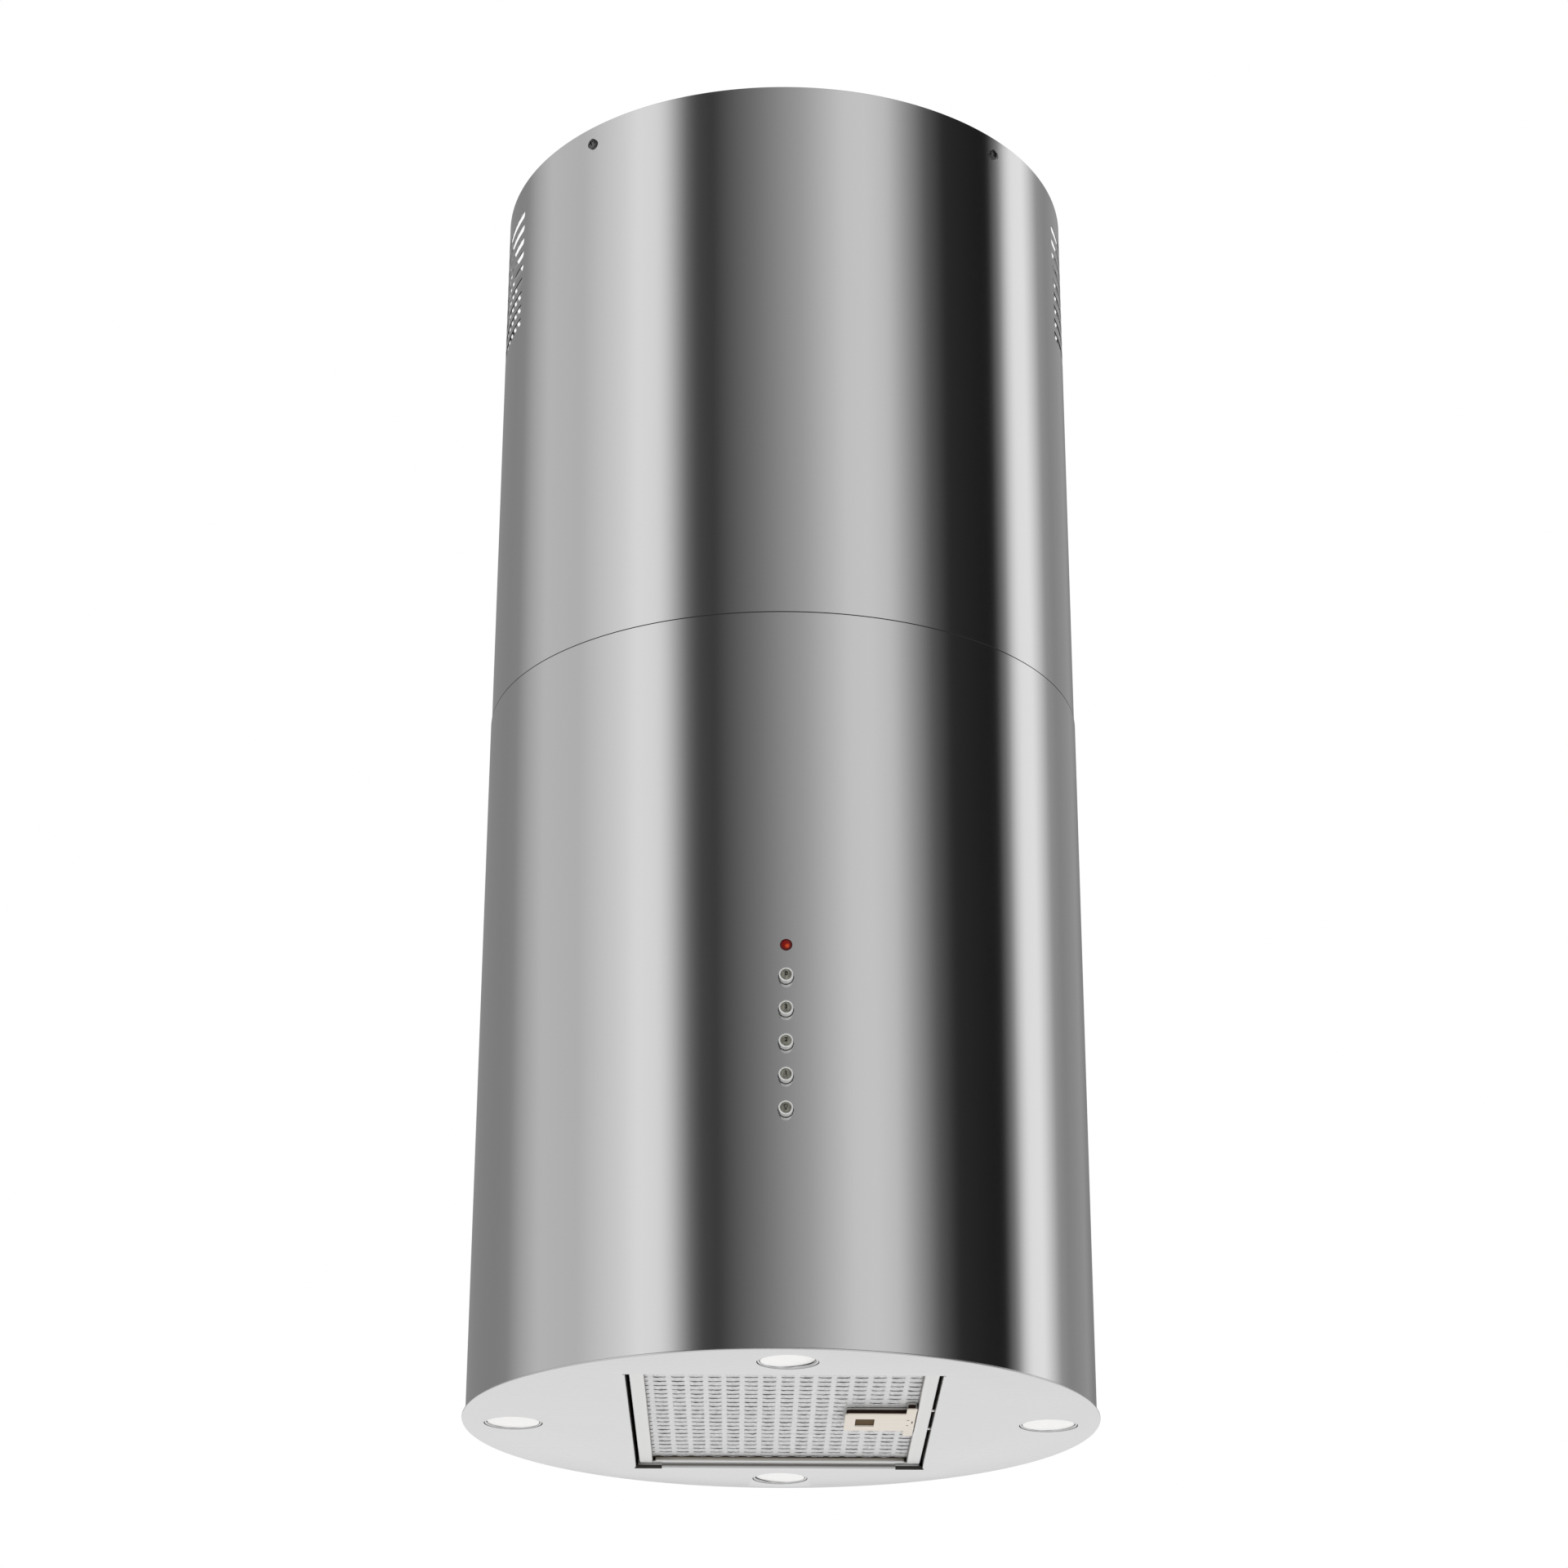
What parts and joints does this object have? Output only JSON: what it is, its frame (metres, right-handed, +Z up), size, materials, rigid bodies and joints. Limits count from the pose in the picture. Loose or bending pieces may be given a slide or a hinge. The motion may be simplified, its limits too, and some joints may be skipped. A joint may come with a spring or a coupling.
{
  "type": "island range hood",
  "caption": "Cylindrical ceiling-hung island hood: telescoping steel tubes, filter and lamps in the round base, push buttons, centrifugal fan and outlet collar inside.",
  "frame": {"origin": "centre of the ceiling plate's top face, in the plane of the ceiling", "axes": "+Z up along the tube's axis, into the ceiling; -Y towards the controls; +X towards the filter's handle"},
  "size_m": [0.3841, 0.3881, 0.826],
  "materials": {
    "satin_steel": "satin, very fine vertical grain",
    "zinc_steel": "zinc coated sheet",
    "screw_steel": "bright",
    "rubber_black": "matt",
    "scroll_plastic": "moulded",
    "motor_shell": "grey paint",
    "white_plastic": "moulded",
    "switch_plastic": "moulded black",
    "red_lens": "clear dark red",
    "ribbon_grey": "flat cable",
    "board_green": "circuit board",
    "lamp_aluminium": "cast",
    "cable_black": "cable sheath",
    "impeller_aluminium": "rolled",
    "filter_aluminium": "anodised satin",
    "filter_mesh": "lanced sheet",
    "handle_cream": "warm white, satin",
    "latch_brown": "moulded brown",
    "bezel_chrome": "bright",
    "lens_frosted": "frosted",
    "button_chrome": "bright rim, dark face"
  },
  "bodies": {
    "ceiling_frame": {"ceiling_plate": "zinc_steel", "cable_grommet": "rubber_black", "upper_rails": "zinc_steel", "upper_frame_screws": "screw_steel", "upper_tube": "satin_steel", "tube_screws": "screw_steel"},
    "hood": {"lower_tube": "satin_steel", "bottom_plate": "satin_steel", "lower_rails": "zinc_steel", "chassis": "zinc_steel", "filter_brackets": "zinc_steel", "finger_guard": "zinc_steel", "motor_bracket": "zinc_steel", "outlet_collar": "zinc_steel", "lamp_clips": "zinc_steel", "lower_frame_screws": "screw_steel", "frame_clamp_screws": "screw_steel", "scroll_screws": "screw_steel", "guard_screws": "screw_steel", "collar_screws": "screw_steel", "damper_pin": "screw_steel", "scroll_left": "scroll_plastic", "scroll_right": "scroll_plastic", "fan_motor": "motor_shell", "capacitor": "white_plastic", "switch_block": "switch_plastic", "switch_cover": "switch_plastic", "indicator_lens": "red_lens", "ribbon_cable": "ribbon_grey", "control_box": "white_plastic", "control_box_lid": "white_plastic", "control_board": "board_green", "lamp_driver": "white_plastic", "terminal_block": "white_plastic", "lamp_bodies": "lamp_aluminium", "wiring_loom": "cable_black", "motor_lead": "cable_black", "lamp_bezel_right": "bezel_chrome", "lamp_lens_right": "lens_frosted", "lamp_bezel_rear": "bezel_chrome", "lamp_lens_rear": "lens_frosted", "lamp_bezel_left": "bezel_chrome", "lamp_lens_left": "lens_frosted", "lamp_bezel_front": "bezel_chrome", "lamp_lens_front": "lens_frosted"},
    "fan_wheel": {"impeller": "impeller_aluminium", "motor_shaft": "screw_steel"},
    "damper_left": {"damper_flap_left": "zinc_steel"},
    "damper_right": {"damper_flap_right": "zinc_steel"},
    "push_light": {"button_light": "button_chrome"},
    "push_1": {"button_1": "button_chrome"},
    "push_2": {"button_2": "button_chrome"},
    "push_3": {"button_3": "button_chrome"},
    "push_0": {"button_0": "button_chrome"},
    "filter": {"filter_frame": "filter_aluminium", "filter_front_sheet": "filter_mesh", "filter_core": "filter_mesh", "filter_pivot_pins": "screw_steel", "filter_handle": "handle_cream"},
    "latch": {"filter_latch": "latch_brown"}
  },
  "joints": [
    {"name": "height_adjust", "type": "slide", "parent": "ceiling_frame", "child": "hood", "axis": [0, 0, -1], "range_m": [-0.07, 0.08]},
    {"name": "fan_spin", "type": "hinge", "parent": "hood", "child": "fan_wheel", "pos_m": [0, 0.012, -0.654], "axis": [1, 0, 0], "continuous": true},
    {"name": "damper_left_swing", "type": "hinge", "parent": "hood", "child": "damper_left", "pos_m": [0, 0, -0.514], "axis": [0, 1, 0], "range_deg": [0, 78]},
    {"name": "damper_right_swing", "type": "hinge", "parent": "hood", "child": "damper_right", "pos_m": [0, 0, -0.514], "axis": [0, -1, 0], "range_deg": [0, 78]},
    {"name": "press_light", "type": "slide", "parent": "hood", "child": "push_light", "axis": [0, 1, 0], "range_m": [0, 0.004], "stiffness_N_per_m": 300},
    {"name": "press_1", "type": "slide", "parent": "hood", "child": "push_1", "axis": [0, 1, 0], "range_m": [0, 0.004], "stiffness_N_per_m": 300},
    {"name": "press_2", "type": "slide", "parent": "hood", "child": "push_2", "axis": [0, 1, 0], "range_m": [0, 0.004], "stiffness_N_per_m": 300},
    {"name": "press_3", "type": "slide", "parent": "hood", "child": "push_3", "axis": [0, 1, 0], "range_m": [0, 0.004], "stiffness_N_per_m": 300},
    {"name": "press_0", "type": "slide", "parent": "hood", "child": "push_0", "axis": [0, 1, 0], "range_m": [0, 0.004], "stiffness_N_per_m": 300},
    {"name": "filter_swing", "type": "hinge", "parent": "hood", "child": "filter", "pos_m": [-0.0825, 0, -0.8185], "axis": [0, 1, 0], "range_deg": [0, 75]},
    {"name": "latch_slide", "type": "slide", "parent": "filter", "child": "latch", "axis": [1, 0, 0], "range_m": [-0.003, 0], "stiffness_N_per_m": 300}
  ]
}
